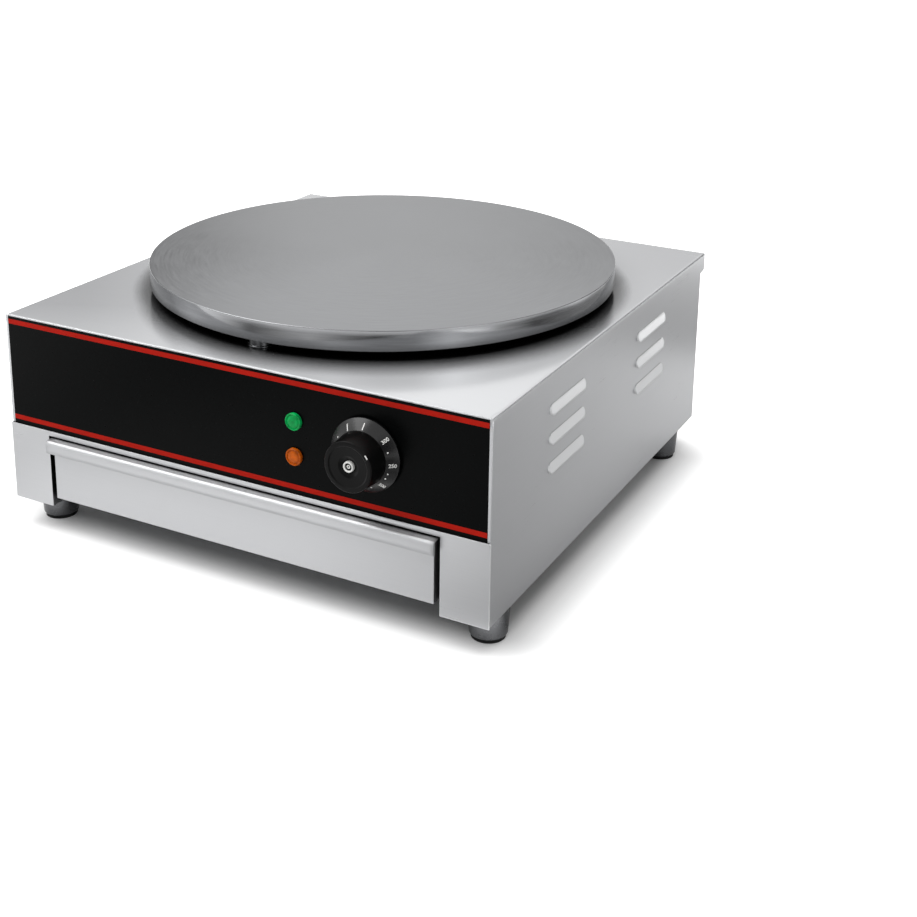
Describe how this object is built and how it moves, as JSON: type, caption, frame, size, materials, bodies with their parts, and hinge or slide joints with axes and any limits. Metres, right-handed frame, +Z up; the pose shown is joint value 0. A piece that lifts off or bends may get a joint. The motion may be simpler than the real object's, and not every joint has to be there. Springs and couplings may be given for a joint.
{
  "type": "electric crepe maker",
  "caption": "Countertop electric crepe maker: round cast griddle on a sheet-steel housing with a control knob, indicator lamps and a pull-out drip tray.",
  "frame": {"origin": "on the counter, under the middle of the overall box, which runs from the knob's face to the end of the cable gland", "axes": "+Z up, +X to the user's right, +Y from the control panel towards the back"},
  "size_m": [0.4428, 0.489, 0.2102],
  "materials": {
    "stainless_case": "satin",
    "stainless_inner": "satin",
    "cast_griddle": "satin, machined",
    "black_overlay": "gloss",
    "black_knob": "semi-gloss",
    "knob_white": "gloss",
    "green_lens": "gloss",
    "orange_lens": "gloss",
    "lamp_barrel": "satin",
    "zinc_fastener": "bright zinc",
    "foot_metal": "satin, dark",
    "foot_rubber": "matte",
    "element_sheath": "dull, heat-tinted",
    "ceramic_wool": "matte, fibrous",
    "ceramic": "matte",
    "thermostat_case": "satin",
    "copper": "bright",
    "wire_brown": "satin",
    "wire_blue": "satin",
    "wire_green": "satin",
    "wire_red": "satin",
    "gland_nylon": "satin",
    "brass_stud": "bright"
  },
  "bodies": {
    "housing": {"housing_wrapper": "stainless_case", "lower_front_frame": "stainless_case", "front_fascia": "stainless_inner", "control_overlay": "black_overlay", "inner_deck": "stainless_inner", "rear_panel": "stainless_case", "rear_panel_screws": "zinc_fastener", "griddle_plate": "cast_griddle", "plate_spacers": "foot_metal", "plate_studs": "zinc_fastener", "plate_washers": "zinc_fastener", "plate_nuts": "zinc_fastener", "heater_pan": "stainless_inner", "pan_screws": "zinc_fastener", "insulation_blanket": "ceramic_wool", "heating_element_outer": "element_sheath", "heating_element_inner": "element_sheath", "element_bushes": "ceramic", "element_links": "zinc_fastener", "clamp_bars": "stainless_inner", "clamp_studs": "zinc_fastener", "clamp_nuts": "zinc_fastener", "thermostat_body": "thermostat_case", "thermostat_screws": "zinc_fastener", "sensing_bulb": "copper", "bulb_clips": "stainless_inner", "capillary_tube": "copper", "terminal_block": "ceramic", "terminal_block_screws": "zinc_fastener", "wire_live": "wire_brown", "wire_switched": "wire_red", "wire_neutral": "wire_blue", "wire_earth": "wire_green", "lamp_leads": "wire_red", "cable_gland_body": "gland_nylon", "cable_gland_seal": "foot_rubber", "cable_gland_nut": "gland_nylon", "cable_gland_locknut": "gland_nylon", "bonding_stud": "brass_stud", "bonding_nut": "brass_stud", "tray_runner_right": "stainless_inner", "tray_runner_left": "stainless_inner", "foot_pads": "foot_rubber", "foot_bolts": "zinc_fastener", "power_lamp_lens": "green_lens", "power_lamp_body": "lamp_barrel", "power_lamp_nut": "zinc_fastener", "heating_lamp_lens": "orange_lens", "heating_lamp_body": "lamp_barrel", "heating_lamp_nut": "zinc_fastener", "foot_front_left": "foot_metal", "foot_front_right": "foot_metal", "foot_rear_left": "foot_metal", "foot_rear_right": "foot_metal"},
    "knob": {"thermostat_shaft": "zinc_fastener", "knob_dial": "black_knob", "knob_grip": "black_knob", "knob_insert": "knob_white"},
    "tray": {"tray_front": "stainless_case", "tray_pan": "stainless_inner"}
  },
  "joints": [
    {"name": "knob_turn", "type": "hinge", "parent": "housing", "child": "knob", "pos_m": [0.1197, -0.2175, 0.1384], "axis": [0, 1, 0], "range_deg": [0, 313]},
    {"name": "tray_slide", "type": "slide", "parent": "housing", "child": "tray", "axis": [0, -1, 0], "range_m": [0, 0.3]}
  ]
}
